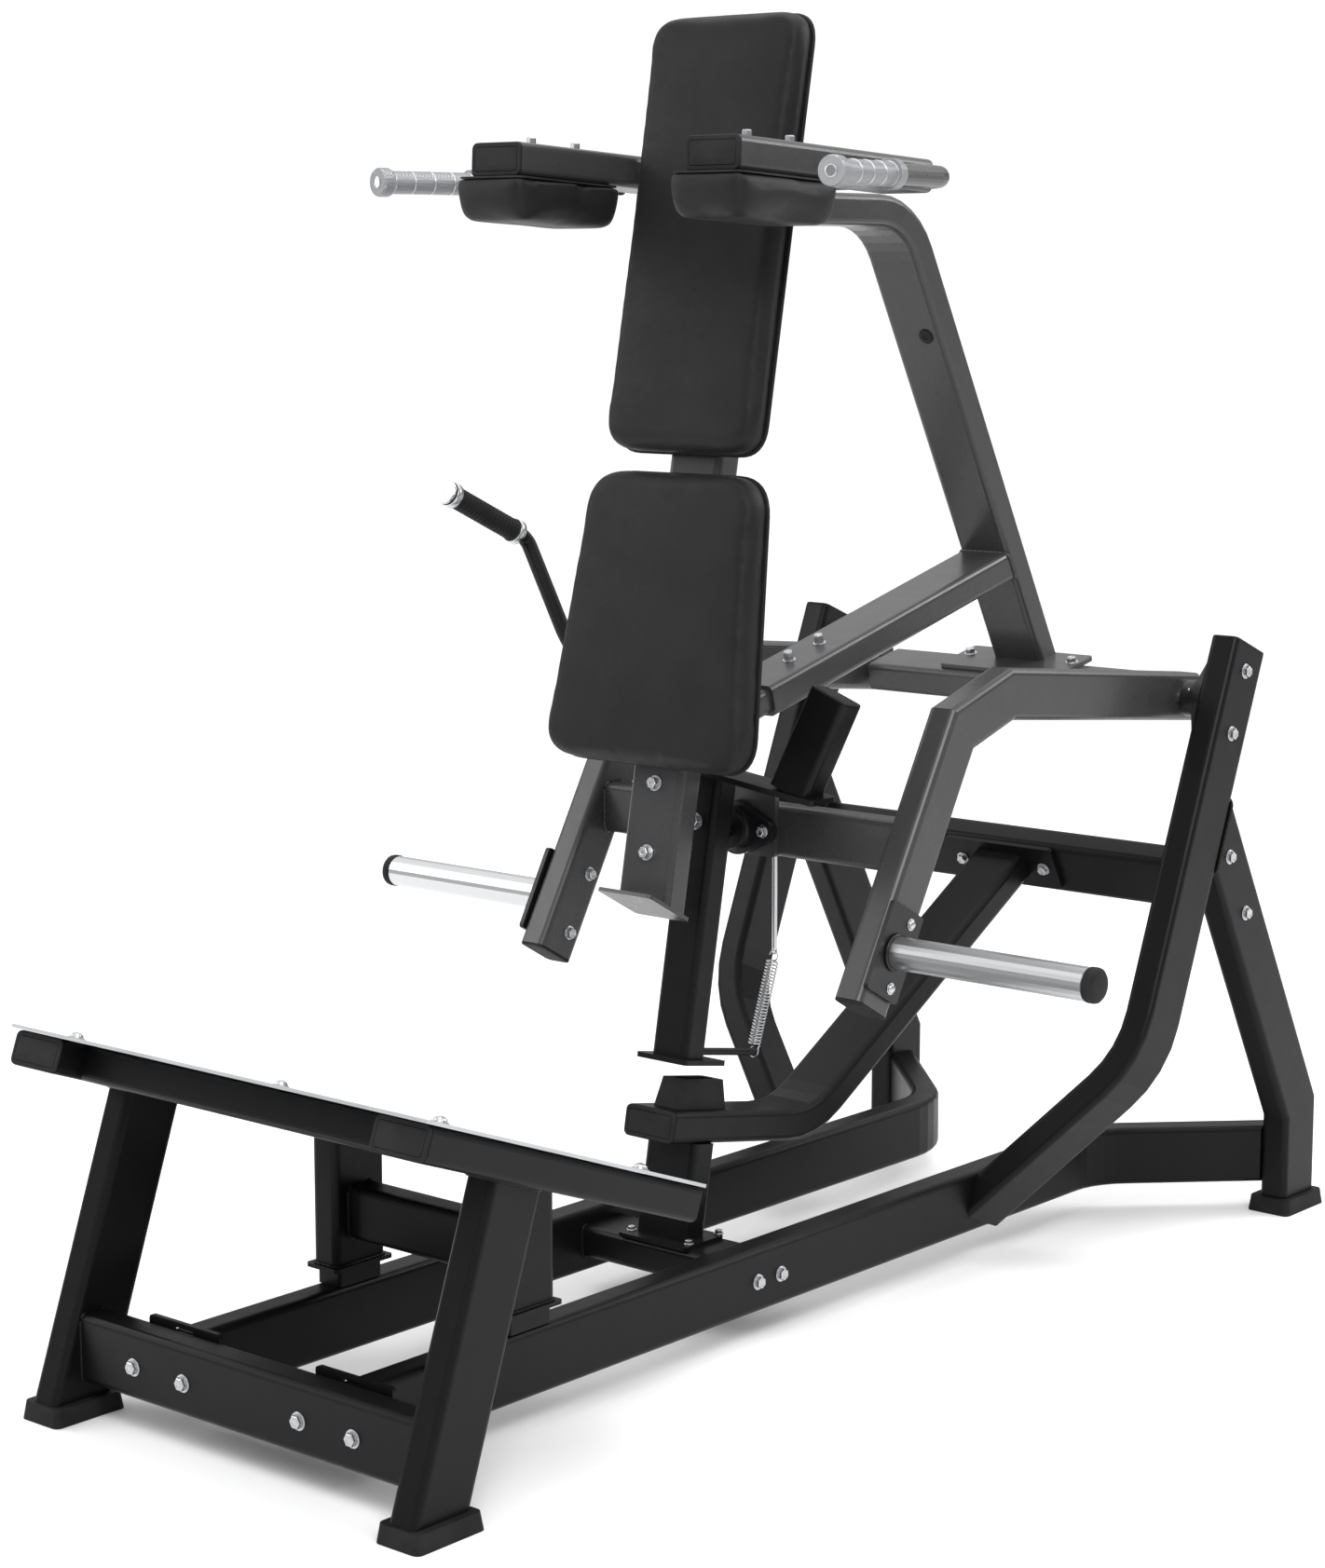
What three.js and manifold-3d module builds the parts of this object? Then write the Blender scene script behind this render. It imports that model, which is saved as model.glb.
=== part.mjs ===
// Hack squat machine. Millimetres, +Z up, +Y towards the rear pivot, X = 0 is the middle plane.
// A person stands on the sloping platform facing -Y, with the back against the pads of the
// carriage. The carriage turns about the pivot shaft at the rear; a lock lever hangs from it.
import * as THREE from 'three';
import { mergeVertices, toCreasedNormals } from 'three/addons/utils/BufferGeometryUtils.js';
import Module from 'manifold-3d';

const wasm = await Module();
wasm.setup();

// ---------------------------------------------------------------- driving dimensions
const GAP = 0.3;                 // between pieces that touch
const TUBE_W = 100;              // wide side of the main tube
const TUBE_H = 50;               // narrow side of the main tube
const CORNER = 10;               // outside corner radius of the tubes
const PLATE = 8;                 // thickness of bolted plates

const FRONT_LEG_X = 355;         // centre of each front leg
const FOOT_H = 26;
const RAIL_X = 168.5;            // centre of each base rail
const RAIL_Z = 98;
const RAIL_BEND_Y = 1868;        // where the rails turn outwards
const REAR_X = 421.75;           // centre of uprights and rear legs
const REAR_LEG_Y = 2110;

const CENTRE_Y = 1087.5;         // half the machine's length

const PLATFORM_TILT = rad(20.2);
const PLATFORM_FRONT = { y: 14.9, z: 567.4 };   // front top edge of the plate
const PLATFORM_LEN = 575;
const PLATFORM_HALF = 410;
const PLATFORM_T = 5;
const SIDE_TUBE_X = 356;

const BRACE_FALL = rad(10.3);    // slope of the front part of the stop brace
const PIVOT = { y: 1861, z: 908 };
const SHAFT_R = 15;
const UPRIGHT_TILT = rad(22);

const ARM_X = 317;               // centre of each carriage arm
const ARM_DEEP = 80;
const HORN = { y: 1059, z: 605, r: 25, len: 340 };
const HORN_PLATE_X = 350.3;      // outer face of the horn plates

const PAD_LEAN = rad(10.54);
const PAD_FOOT = { y: 888, z: 674 };            // a point on the front face of the pad tube
const PAD_T = 55;
const FOOT_TILT = rad(28.7);    // slope of the plate under the pad tube
const UPPER_PAD = { from: 666, to: 1328, half: 145 };
const LOWER_PAD = { from: 194, to: 638, top: 162, bottom: 200 };
const SHOULDER = { x: 208, y: 803, z: 1768, fall: 0.052, rear: 1252 };

const CROSS = { y: 1158, z: 746 };              // lower cross tube of the carriage
const LOCK_X = 35;                              // half width of the lock leg
const LOCK_FOOT = { y: 972, z: 405 };           // bottom of the lock leg's centre line
const LOCK_TOP_Z = 836;
const LOCK_SHAFT_R = 12;
const LOCK_PIVOT_Z = 748;

// ---------------------------------------------------------------- materials
const paint = (color, roughness, metalness = 0.2) =>
  new THREE.MeshStandardMaterial({ color, roughness, metalness });
const BLACK = paint(0x1b1c1e, 0.5);
const GREY = paint(0x5d6064, 0.35, 0.4);
const PLATE_SILVER = paint(0xb9bcbe, 0.4, 0.7);
const RUBBER = paint(0x111111, 0.85, 0);
const VINYL = paint(0x202124, 0.6, 0);
const STEEL = paint(0xc8cacc, 0.25, 0.9);

const group = new THREE.Group();
group.name = 'hack_squat_machine';

// ---------------------------------------------------------------- small helpers
function rad(degrees) {
  return degrees * Math.PI / 180;
}

function V(x, y, z) {
  return new THREE.Vector3(x, y, z);
}

const X = V(1, 0, 0);
const Y = V(0, 1, 0);
const Z = V(0, 0, 1);

// A direction in the YZ plane, at an angle above the +Y axis.
function dir(angle) {
  return V(0, Math.cos(angle), Math.sin(angle));
}

function signedVolume(g) {
  const p = g.attributes.position;
  const at = i => V().fromBufferAttribute(p, g.index.getX(i));
  let sum = 0;
  for (let i = 0; i < g.index.count; i += 3) {
    sum += at(i).dot(at(i + 1).cross(at(i + 2)));
  }
  return sum / 6;
}

// Merge a geometry's corners into one closed skin that faces outwards.
function closed(geometry) {
  const bare = new THREE.BufferGeometry();
  bare.setAttribute('position', geometry.attributes.position.clone());
  if (geometry.index) bare.setIndex(geometry.index.clone());
  const g = mergeVertices(bare, 1e-3);
  if (signedVolume(g) < 0) {
    const a = g.index.array;
    for (let i = 0; i < a.length; i += 3) [a[i], a[i + 1]] = [a[i + 1], a[i]];
  }
  return g;
}

function toManifold(geometry) {
  const g = closed(geometry);
  return new wasm.Manifold(new wasm.Mesh({
    numProp: 3,
    vertProperties: Float32Array.from(g.attributes.position.array),
    triVerts: Uint32Array.from(g.index.array),
  }));
}

function fromManifold(m) {
  const mesh = m.getMesh();
  const g = new THREE.BufferGeometry();
  g.setAttribute('position', new THREE.BufferAttribute(Float32Array.from(mesh.vertProperties), 3));
  g.setIndex(new THREE.BufferAttribute(Uint32Array.from(mesh.triVerts), 1));
  return g;
}

const join = (a, ...rest) =>
  fromManifold(rest.reduce((m, g) => m.add(toManifold(g)), toManifold(a)));
const cut = (a, ...rest) =>
  fromManifold(rest.reduce((m, g) => m.subtract(toManifold(g)), toManifold(a)));

function solid(name, material, geometry) {
  const mesh = new THREE.Mesh(toCreasedNormals(closed(geometry), rad(40)), material);
  mesh.name = name;
  group.add(mesh);
}

// Build the same piece on both sides: side is -1 for L (-X) and +1 for R (+X).
function pair(name, material, build) {
  solid(`${name}_L`, material, build(-1));
  solid(`${name}_R`, material, build(1));
}

// ---------------------------------------------------------------- shapes
function rounded(w, h, r = CORNER) {
  const s = new THREE.Shape();
  const a = w / 2 - r;
  const b = h / 2 - r;
  s.absarc(a, b, r, 0, Math.PI / 2);
  s.absarc(-a, b, r, Math.PI / 2, Math.PI);
  s.absarc(-a, -b, r, Math.PI, 1.5 * Math.PI);
  s.absarc(a, -b, r, 1.5 * Math.PI, 2 * Math.PI);
  return s;
}

function circle(r) {
  return new THREE.Shape().absarc(0, 0, r, 0, 2 * Math.PI);
}

// Stations along a centre line. A corner with radius 0 is a mitre. The section's first
// direction is the plane's normal; without one it is carried along, as for a round bar.
function route(points, radii = [], normal = null) {
  const stations = [];
  const tangents = points.slice(1).map((p, i) => p.clone().sub(points[i]).normalize());
  let u = normal || new THREE.Vector3().crossVectors(tangents[0], Math.abs(tangents[0].z) > 0.9 ? X : Z)
    .normalize();
  const add = (p, t, stretch = 1) => {
    if (!normal) u = u.clone().addScaledVector(t, -u.dot(t)).normalize();
    const v = new THREE.Vector3().crossVectors(u, t).multiplyScalar(stretch);
    stations.push({ p: p.clone(), t: t.clone(), u: u.clone(), v });
  };
  add(points[0], tangents[0]);
  for (let i = 1; i < points.length - 1; i++) {
    bend(points[i], tangents[i - 1], tangents[i], radii[i - 1] || 0, add);
  }
  add(points.at(-1), tangents.at(-1));
  return stations;
}

function bend(corner, before, after, radius, add) {
  const angle = before.angleTo(after);
  if (!radius) {
    add(corner, before.clone().add(after).normalize(), 1 / Math.cos(angle / 2));
    return;
  }
  const inward = after.clone().addScaledVector(before, -Math.cos(angle)).normalize();
  const start = corner.clone().addScaledVector(before, -radius * Math.tan(angle / 2));
  const centre = start.clone().addScaledVector(inward, radius);
  const steps = Math.max(3, Math.ceil(angle / rad(11)));
  for (let k = 0; k <= steps; k++) {
    const a = angle * k / steps;
    const p = centre.clone().addScaledVector(inward, -radius * Math.cos(a))
      .addScaledVector(before, radius * Math.sin(a));
    const t = before.clone().multiplyScalar(Math.cos(a)).addScaledVector(inward, Math.sin(a));
    add(p, t);
  }
}

// Slide an end station along its own axis onto a cutting plane.
function trim(station, planePoint, planeNormal) {
  const slide = w => w.clone().addScaledVector(station.t,
    -w.dot(planeNormal) / station.t.dot(planeNormal));
  const offset = station.p.clone().sub(planePoint);
  station.p = planePoint.clone().add(slide(offset));
  station.u = slide(station.u);
  station.v = slide(station.v);
}

function sweep(shape, stations, curveSegments = 2) {
  const n = stations.length - 1;
  const g = new THREE.ExtrudeGeometry(shape, { depth: n, steps: n, bevelEnabled: false, curveSegments });
  const pos = g.attributes.position;
  for (let i = 0; i < pos.count; i++) {
    const s = stations[Math.round(pos.getZ(i))];
    const q = s.p.clone().addScaledVector(s.u, pos.getX(i)).addScaledVector(s.v, pos.getY(i));
    pos.setXYZ(i, q.x, q.y, q.z);
  }
  return g;
}

// A rectangular tube: w along the normal, h across it. start and end are [point, normal] cuts.
function tube(points, normal, w, h, { radii = [], start, end, corner = CORNER } = {}) {
  const stations = route(points, radii, normal.clone().normalize());
  if (start) trim(stations[0], ...start);
  if (end) trim(stations.at(-1), ...end);
  return sweep(rounded(w, h, corner), stations);
}

function rod(points, r, { radii = [], start, end, segments = 20 } = {}) {
  const stations = route(points, radii);
  if (start) trim(stations[0], ...start);
  if (end) trim(stations.at(-1), ...end);
  return sweep(circle(r), stations, segments / 2);
}

// A flat plate centred at a point, w along a, h along b, t along a x b.
function plate(centre, a, b, w, h, t, r = 6) {
  const n = new THREE.Vector3().crossVectors(a, b).normalize();
  const ends = [-t / 2, t / 2].map(d => centre.clone().addScaledVector(n, d));
  const stations = ends.map(p => ({ p, u: a.clone().normalize(), v: b.clone().normalize() }));
  return sweep(rounded(w, h, r), stations);
}

// A turned piece: [radius, distance] pairs, standing on a point along an axis.
function turned(profile, base, axis, segments = 24) {
  const g = new THREE.LatheGeometry(profile.map(([r, d]) => new THREE.Vector2(r, d)), segments);
  g.applyQuaternion(new THREE.Quaternion().setFromUnitVectors(Y, axis.clone().normalize()));
  return g.translate(base.x, base.y, base.z);
}

// ---------------------------------------------------------------- platform and front frame
const along = dir(-PLATFORM_TILT);                // down the slope, towards the rear
const upSlope = dir(Math.PI / 2 - PLATFORM_TILT);  // out of the plate

function onPlatform(x, s, n) {
  return V(x, PLATFORM_FRONT.y, PLATFORM_FRONT.z).addScaledVector(along, s).addScaledVector(upSlope, n);
}

const TUBE_MID = -PLATFORM_T - GAP - TUBE_H / 2;
const UNDERSIDE = [onPlatform(0, 0, -PLATFORM_T - TUBE_H - 2 * GAP), upSlope];

function taperedBlock(centre, w, h, tall, topScale) {
  const g = new THREE.ExtrudeGeometry(rounded(w, h, 10), { depth: tall, steps: 1, bevelEnabled: false,
    curveSegments: 2 });
  const pos = g.attributes.position;
  for (let i = 0; i < pos.count; i++) {
    const k = pos.getZ(i) > tall / 2 ? topScale : 1;
    pos.setXYZ(i, centre.x + pos.getX(i) * k, centre.y + pos.getY(i) * k, pos.getZ(i));
  }
  return g;
}

function platform() {
  solid('platform_plate', PLATE_SILVER, plate(onPlatform(0, PLATFORM_LEN / 2, -PLATFORM_T / 2),
    X, along, 2 * PLATFORM_HALF, PLATFORM_LEN, PLATFORM_T, 8));
  pair('platform_side_tube', BLACK, side => tube(
    [onPlatform(side * SIDE_TUBE_X, 16, TUBE_MID), onPlatform(side * SIDE_TUBE_X, 568, TUBE_MID)],
    X, TUBE_W, TUBE_H));
  const half = SIDE_TUBE_X - TUBE_W / 2 - GAP;
  for (const [name, s] of [['platform_front_tube', 108], ['platform_rear_tube', 462.5]]) {
    solid(name, BLACK, tube([onPlatform(-half, s, TUBE_MID), onPlatform(half, s, TUBE_MID)],
      along, TUBE_W, TUBE_H));
  }
}

function frontFrame() {
  pair('front_leg', BLACK, side => tube(
    [V(side * FRONT_LEG_X, 62, FOOT_H + GAP), V(side * FRONT_LEG_X, 208, FOOT_H + 415)],
    X, TUBE_H, TUBE_W, { start: [V(0, 0, FOOT_H + GAP), Z], end: UNDERSIDE }));
  pair('front_foot', RUBBER, side => taperedBlock(V(side * FRONT_LEG_X, 63.5), 80, 127, FOOT_H, 0.93));
  const half = FRONT_LEG_X - TUBE_H / 2 - GAP;
  const beamY = 85;
  solid('front_beam', BLACK, tube([V(-half, beamY, 100), V(half, beamY, 100)], Z, TUBE_W, TUBE_H));
  pair('platform_post', BLACK, side => join(
    tube([V(side * RAIL_X, 430, 178), V(side * RAIL_X, 430, 360)], X, TUBE_H, TUBE_W, { end: UNDERSIDE }),
    plate(V(side * RAIL_X, 430, 177), X, Y, 66, 114, 6),
    plate(V(side * RAIL_X, 430, 162.3), X, Y, 46, 84, 28, 4)));
  const inner = RAIL_X - TUBE_H / 2 - GAP;
  solid('post_crossbeam', BLACK, tube([V(-inner, 430, 258), V(inner, 430, 258)], Z, 80, TUBE_H));
}

// ---------------------------------------------------------------- base, stop and rear frame
const RAIL_START_Y = 110.3;
const upright = dir(Math.PI / 2 - UPRIGHT_TILT);       // along the uprights, upwards
const uprightFront = dir(-UPRIGHT_TILT);               // out of the uprights' rear face
const legSlant = dir(rad(119));                        // up the slanted rear legs
const beamBack = dir(rad(29));                         // out of the crossbeam's rear face
const crossbeamAt = V(0, 1875, 603);

function base() {
  pair('base_rail', BLACK, side => tube(
    [V(side * RAIL_X, RAIL_START_Y, RAIL_Z), V(side * RAIL_X, RAIL_BEND_Y, RAIL_Z),
      V(side * (REAR_X - 20), RAIL_BEND_Y + REAR_X - 20 - RAIL_X, RAIL_Z)],
    Z, TUBE_W, TUBE_H, { radii: [150], end: [V(side * (REAR_X - TUBE_H / 2 - GAP), 0, 0), X] }));
  const inner = RAIL_X - TUBE_H / 2 - GAP;
  solid('base_crossmember', BLACK, tube([V(-inner, 960, 99), V(inner, 960, 99)], Y, TUBE_W, TUBE_H));
}

function rearFrame() {
  const bendAt = V(0, 1634, 343);
  const top = bendAt.clone().addScaledVector(upright, 704);
  const splay = rad(40.4);
  pair('upright', BLACK, side => {
    const corner = V(side * REAR_X, bendAt.y, bendAt.z);
    const foot = corner.clone().addScaledVector(upright, -340 * Math.cos(splay))
      .addScaledVector(X, -side * 340 * Math.sin(splay));
    return tube([foot, corner, V(side * REAR_X, top.y, top.z)], uprightFront, TUBE_W, TUBE_H,
      { radii: [200], start: [V(side * (RAIL_X + TUBE_H / 2 + GAP), 0, 0), X] });
  });
  const rearFace = V(0, top.y, top.z).addScaledVector(uprightFront, TUBE_W / 2 + GAP);
  pair('rear_leg', BLACK, side => tube(
    [V(side * REAR_X, REAR_LEG_Y, FOOT_H + GAP), V(side * REAR_X, REAR_LEG_Y, 180.5),
      V(side * REAR_X, REAR_LEG_Y, 180.5).addScaledVector(legSlant, 560)],
    X, TUBE_H, TUBE_W, { radii: [0], end: [rearFace, uprightFront] }));
  pair('rear_foot', RUBBER, side => taperedBlock(V(side * (REAR_X - 2), 2111), 80, 128, FOOT_H, 0.93));
  const inner = REAR_X - TUBE_H / 2 - GAP;
  solid('rear_crossbeam', BLACK, tube(
    [V(-inner, crossbeamAt.y, crossbeamAt.z), V(inner, crossbeamAt.y, crossbeamAt.z)],
    legSlant, TUBE_W, TUBE_H));
}

function stop() {
  const fall = dir(-BRACE_FALL);
  const rise = dir(rad(30.26));
  const up = dir(Math.PI / 2 - BRACE_FALL);
  const corner = V(0, 1256.4, 251.2);
  const front = corner.clone().addScaledVector(fall, -354);
  const plateFace = crossbeamAt.clone().addScaledVector(beamBack, -TUBE_H / 2 - GAP - PLATE);
  const brace = tube([front, corner, corner.clone().addScaledVector(rise, 640)], X, TUBE_W, TUBE_H,
    { radii: [175], end: [plateFace.clone().addScaledVector(beamBack, 2), beamBack] });
  const endPlate = plate(plateFace.clone().addScaledVector(beamBack, PLATE / 2).add(V(0, -3, 5)),
    X, legSlant, 220, 84, PLATE);
  solid('stop_brace', BLACK, join(brace, endPlate));

  const padAt = corner.clone().addScaledVector(fall, -264);
  const postTop = corner.clone().addScaledVector(fall, -276).addScaledVector(up, -TUBE_H / 2 - GAP);
  const postFoot = postTop.clone().addScaledVector(up, -150);
  const post = tube([postFoot, postTop], X, TUBE_W, TUBE_H,
    { start: [V(0, 0, 128), Z], end: [postTop, up] });
  const foot = plate(V(0, postFoot.y + 2, 124.3 + 3), X, Y, 136, 96, 6);
  solid('stop_post', BLACK, join(post, foot));

  const bumperAt = padAt.clone().addScaledVector(up, TUBE_H / 2 + GAP);
  const place = new THREE.Matrix4().makeBasis(X, fall, up).setPosition(bumperAt);
  const block = taperedBlock(V(0, 0), 56, 120, 45, 0.84).applyMatrix4(place);
  const recess = plate(bumperAt.clone().addScaledVector(up, 45), X, fall, 26, 72, 10, 5);
  solid('stop_bumper', RUBBER, cut(block, recess));
}

// ---------------------------------------------------------------- bearings
// A two-bolt flange bearing: base plane at a point, opening along axis, lobes along lobe.
function flangeBearing(at, axis, lobe, bore, length) {
  const across = new THREE.Vector3().crossVectors(axis, lobe).normalize();
  const shape = new THREE.Shape();
  shape.absarc(54, 0, 18, -1.15, 1.15);
  shape.absarc(0, 0, 42, 1.15, Math.PI - 1.15);
  shape.absarc(-54, 0, 18, Math.PI - 1.15, Math.PI + 1.15);
  shape.absarc(0, 0, 42, Math.PI + 1.15, 2 * Math.PI - 1.15);
  shape.holes.push(circle(bore + 2));
  const faces = [0, 14].map(d => at.clone().addScaledVector(axis, d));
  const flange = sweep(shape, faces.map(p => ({ p, u: lobe, v: across })), 8);
  const ring = [[bore, 0], [34, 0], [34, 24], [30, 26], [30, length], [bore, length], [bore, 0]];
  return join(flange, turned(ring, at, axis, 48));
}

function pivot() {
  const inner = REAR_X - TUBE_H / 2 - GAP;
  pair('pivot_bearing', BLACK, side => flangeBearing(V(side * inner, PIVOT.y, PIVOT.z),
    V(-side, 0, 0), upright, SHAFT_R + 0.1, 44));
  const armOut = ARM_X + TUBE_H / 2 + GAP;
  pair('pivot_stub', STEEL, side => rod([V(side * armOut, PIVOT.y, PIVOT.z),
    V(side * (inner - 6), PIVOT.y, PIVOT.z)], SHAFT_R, { segments: 48 }));
}

// ---------------------------------------------------------------- carriage
const padUp = dir(Math.PI / 2 - PAD_LEAN);
const padOut = dir(Math.PI - PAD_LEAN);                // out of the front of the pads
const foldTilt = rad(12);                              // the pivot tube's own tilt

function padPoint(x, along_, out) {
  return V(x, PAD_FOOT.y, PAD_FOOT.z).addScaledVector(padUp, along_).addScaledVector(padOut, out);
}

function arms() {
  const line = [[1910, 903.9], [1372, 959.5], [1242, 919], [1017, 524]];
  pair('arm', GREY, side => tube(line.map(([y, z]) => V(side * ARM_X, y, z)), X, TUBE_H, ARM_DEEP,
    { radii: [0, 0] }));
  const lean = dir(rad(61));
  const across = dir(rad(-29));
  pair('horn_plate', BLACK, side => plate(
    V(side * (HORN_PLATE_X - PLATE / 2), HORN.y, HORN.z), lean, across, 139, 83, PLATE - GAP));
  const profile = [[0, 0], [25, 0], [25, 340], [23.5, 340], [23.5, 341.5], [25, 341.5], [25, 352],
    [22, 356], [0, 356]];
  pair('weight_horn', STEEL, side => turned(profile, V(side * (HORN_PLATE_X + GAP), HORN.y, HORN.z),
    V(side, 0, 0)));
}

function crossTubes() {
  const inner = ARM_X - TUBE_H / 2 - GAP;
  const bearingPlate = plate(V(0, CROSS.y - TUBE_H / 2 - 3, 759), X, Z, 134, 106, 10);
  solid('lower_cross_tube', GREY, join(bearingPlate,
    tube([V(-inner, CROSS.y, CROSS.z), V(inner, CROSS.y, CROSS.z)], Z, ARM_DEEP, TUBE_H)));
  const spacers = rod([V(-inner, PIVOT.y, PIVOT.z), V(inner, PIVOT.y, PIVOT.z)], 20);
  solid('pivot_cross_tube', GREY, join(spacers,
    tube([V(-270, PIVOT.y, PIVOT.z), V(270, PIVOT.y, PIVOT.z)], dir(foldTilt), TUBE_W, TUBE_H)));
}

function backbone() {
  const out = dir(Math.PI / 2 + foldTilt);
  const seat = V(0, PIVOT.y, PIVOT.z).addScaledVector(out, TUBE_H / 2 + GAP);
  const foot = V(0, 1903, 946);
  const bendAt = V(0, 1490, 1700);
  const front = padPoint(0, 0, -TUBE_H - GAP);
  const diagonal = tube([foot, bendAt, V(0, 1130, 1700)], X, TUBE_W, TUBE_H,
    { radii: [130], start: [seat.clone().addScaledVector(out, 3), out], end: [front, padOut] });
  const footPlate = plate(seat.clone().addScaledVector(out, 4).addScaledVector(dir(foldTilt), 18),
    X, dir(foldTilt), 246, 108, 8);
  solid('rear_diagonal', GREY, join(diagonal, footPlate));

  const slope = rad(14.63);
  const strutFront = V(0, 1143, 946.9);
  const diagonalDir = bendAt.clone().sub(foot).normalize();
  const diagonalFront = new THREE.Vector3().crossVectors(X, diagonalDir).normalize();
  const faceAt = foot.clone().addScaledVector(diagonalFront, TUBE_H / 2 + GAP);
  const strut = tube([strutFront, strutFront.clone().addScaledVector(dir(slope), 660)],
    X, TUBE_W, TUBE_H, { end: [faceAt, diagonalFront] });
  const link = tube([strutFront.clone().addScaledVector(dir(slope), -150),
    strutFront.clone().addScaledVector(dir(slope), 20)], X, 88, 40, { start: [front, padOut] });
  solid('strut', GREY, join(strut, link));
}

function padSupport() {
  const mid = -TUBE_H / 2 - GAP;
  const footAt = V(0, 891.5, 658.5);
  solid('pad_tube', GREY, join(plate(footAt, X, dir(-FOOT_TILT), 106, 104, 6),
    tube([padPoint(0, -70, mid), padPoint(0, 1068, mid)], X, TUBE_W, TUBE_H,
      { start: [footAt, dir(Math.PI / 2 - FOOT_TILT)] })));
  const armFall = Math.atan(SHOULDER.fall);
  const rear = V(0, SHOULDER.rear, SHOULDER.z - (SHOULDER.rear - SHOULDER.y) * SHOULDER.fall);
  pair('shoulder_arm', GREY, side => tube([V(side * SHOULDER.x, SHOULDER.y, SHOULDER.z),
    V(side * SHOULDER.x, rear.y, rear.z)], X, TUBE_W, TUBE_H));
  const half = SHOULDER.x - TUBE_W / 2 - GAP;
  solid('shoulder_crossbar', GREY, tube([V(-half, 1190, 1753), V(half, 1190, 1753)],
    dir(-armFall), TUBE_W, TUBE_H));
}

// ---------------------------------------------------------------- pads
// A cushion: an outline standing on its back plane, with a soft front edge.
function cushion(shape, place, thick, soft = 16) {
  const g = new THREE.ExtrudeGeometry(shape, { depth: thick - soft, steps: 1, curveSegments: 5,
    bevelEnabled: true, bevelSize: soft, bevelThickness: soft, bevelOffset: -soft, bevelSegments: 3 });
  const pos = g.attributes.position;
  for (let i = 0; i < pos.count; i++) {
    if (pos.getZ(i) < 0) pos.setZ(i, pos.getZ(i) * 0.3);
  }
  return g.applyMatrix4(place);
}

// A four-sided outline with rounded corners, wide at the bottom or not.
function padOutline(top, bottom, low, high, r) {
  const corners = [[-bottom, low], [bottom, low], [top, high], [-top, high]];
  const s = new THREE.Shape();
  corners.forEach(([x, y], i) => {
    const c = new THREE.Vector2(x, y);
    const before = new THREE.Vector2(...corners[(i + 3) % 4]).sub(c).setLength(r).add(c);
    const after = new THREE.Vector2(...corners[(i + 1) % 4]).sub(c).setLength(r).add(c);
    if (i === 0) s.moveTo(before.x, before.y);
    else s.lineTo(before.x, before.y);
    s.quadraticCurveTo(x, y, after.x, after.y);
  });
  s.closePath();
  return s;
}

function backPads() {
  const place = new THREE.Matrix4().makeBasis(X, padUp, padOut).setPosition(padPoint(0, 0, 5 + GAP));
  solid('upper_back_pad', VINYL, cushion(
    padOutline(UPPER_PAD.half, UPPER_PAD.half, UPPER_PAD.from, UPPER_PAD.to, 48), place, PAD_T - 5));
  solid('lower_back_pad', VINYL, cushion(
    padOutline(LOWER_PAD.top, LOWER_PAD.bottom, LOWER_PAD.from, LOWER_PAD.to, 60), place, PAD_T - 5));
}

function shoulderPads() {
  const fall = Math.atan(SHOULDER.fall);
  const side = new THREE.Shape();
  side.moveTo(0, 0);
  side.lineTo(222, 0);
  side.lineTo(222, -30);
  side.quadraticCurveTo(222, -66, 186, -66);
  side.lineTo(30, -66);
  side.quadraticCurveTo(0, -66, 0, -40);
  side.closePath();
  const soft = 9;
  pair('shoulder_pad', VINYL, s => {
    const g = new THREE.ExtrudeGeometry(side, { depth: 142 - 2 * soft, curveSegments: 5, steps: 1,
      bevelEnabled: true, bevelSize: soft, bevelThickness: soft, bevelOffset: -soft, bevelSegments: 3 });
    const under = V(s * SHOULDER.x - 71 + soft, 793, SHOULDER.z + 0.5)
      .addScaledVector(dir(Math.PI / 2 - fall), -TUBE_H / 2 - GAP);
    const place = new THREE.Matrix4().makeBasis(dir(-fall), dir(Math.PI / 2 - fall), X).setPosition(under);
    return g.applyMatrix4(place);
  });
}

// ---------------------------------------------------------------- handles
const GRIP = [[0, 0], [20, 0], [22, 3], [22, 18], [20, 22], [17.5, 22], [17.5, 172], [22, 172],
  [22, 190], [0, 190]];

function handles() {
  const splay = rad(10);
  pair('handle_grip', STEEL, side => turned(GRIP, V(side * 435, 777, 1738),
    V(-side * Math.sin(splay), Math.cos(splay), 0)));
  pair('handle_tube', GREY, side => {
    const back = V(-side * Math.sin(splay), Math.cos(splay), 0);
    const root = V(side * 435, 777, 1738).addScaledVector(back, 190 + GAP);
    const corner = V(side * 435, 777, 1738).addScaledVector(back, 366);
    const end = V(side * (SHOULDER.x + TUBE_W / 2 + GAP), corner.y, 1738);
    return rod([root, corner, end], 16, { radii: [55] });
  });
}

// ---------------------------------------------------------------- lock lever
const LOCK_LEAN = 0.185;                               // mm of Y for each mm of Z

function onLock(x, z, dy = 0) {
  return V(x, LOCK_FOOT.y + (z - LOCK_FOOT.z) * LOCK_LEAN + dy, z);
}

const lockUp = onLock(0, 100).sub(onLock(0, 0)).normalize();
const lockBack = new THREE.Vector3().crossVectors(lockUp, X).normalize();

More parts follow.
